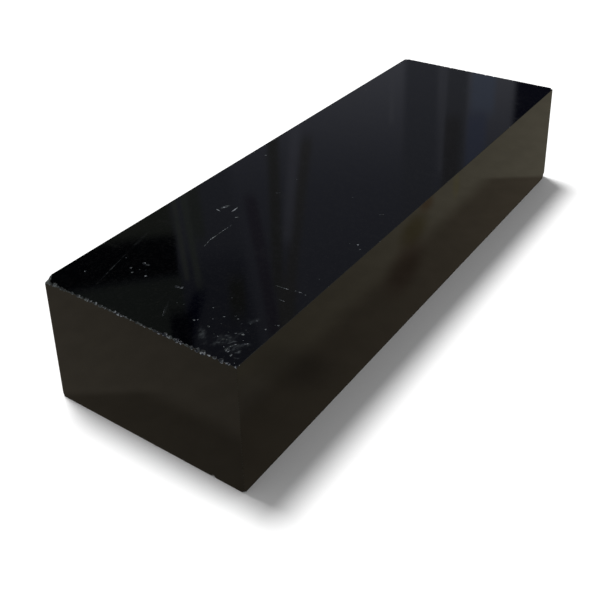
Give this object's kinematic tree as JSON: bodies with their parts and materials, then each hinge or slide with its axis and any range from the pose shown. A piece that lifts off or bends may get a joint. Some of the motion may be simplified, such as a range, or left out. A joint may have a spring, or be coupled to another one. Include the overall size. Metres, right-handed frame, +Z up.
{
  "type": "granite tooling slab",
  "caption": "Solid rectangular bar of polished black granite, used as a heavy flat base for tooling, stamping and punching leather.",
  "frame": {"origin": "middle of the base, on the surface that the slab rests on", "axes": "+X along the length, with the heavily chipped end at -X; +Y across the width, towards the side on which that end has lost the tip of its top corner; +Z up, out of the working face"},
  "size_m": [0.305, 0.1, 0.059],
  "materials": {
    "black_granite": "polished"
  },
  "bodies": {
    "root": {"granite_bar": "black_granite"}
  },
  "joints": []
}
